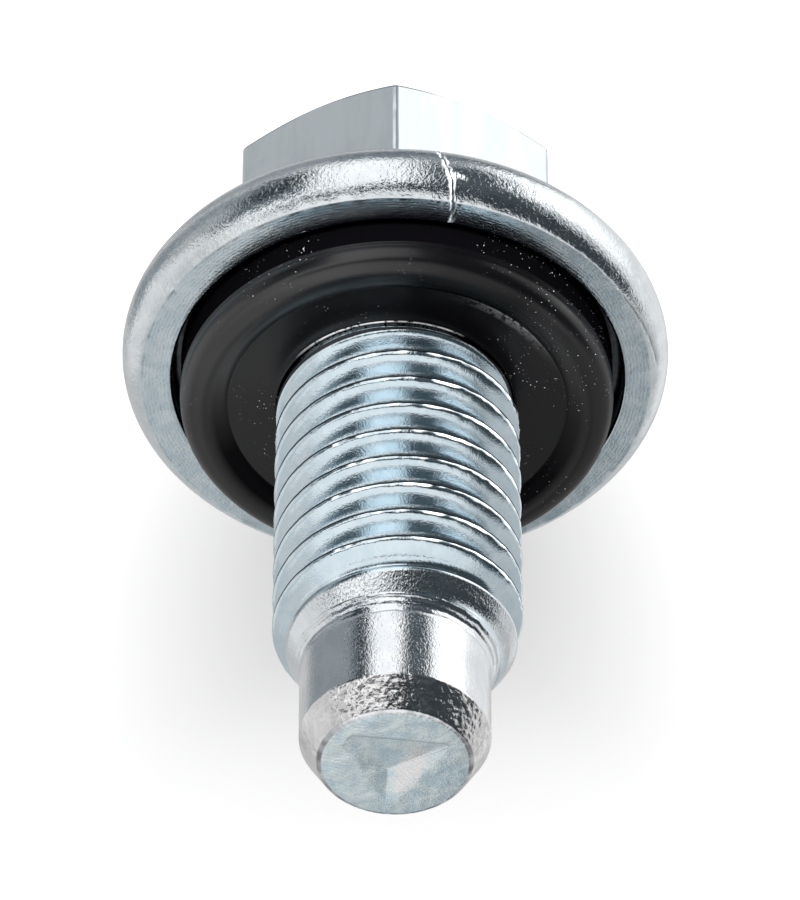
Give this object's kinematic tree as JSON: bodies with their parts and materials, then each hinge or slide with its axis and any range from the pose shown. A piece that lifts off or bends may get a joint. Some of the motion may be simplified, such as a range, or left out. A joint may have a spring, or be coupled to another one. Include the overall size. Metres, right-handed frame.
{
  "type": "oil drain plug",
  "caption": "Flanged hex drain plug with a fine pilot point, a coarse metric thread and a moulded rubber sealing gasket seated in the flange.",
  "frame": {"origin": "centre of the hex head's outer face, which it stands on", "axes": "+Z along the thread's axis, from the head to the pilot tip; -Y through one corner of the hex"},
  "size_m": [0.0266, 0.0266, 0.0375],
  "materials": {
    "plated_steel": "bright blue-white zinc plating over a forged and rolled surface",
    "gasket_rubber": "satin moulded rubber"
  },
  "bodies": {
    "root": {"plug_body": "plated_steel", "gasket": "gasket_rubber"}
  },
  "joints": []
}
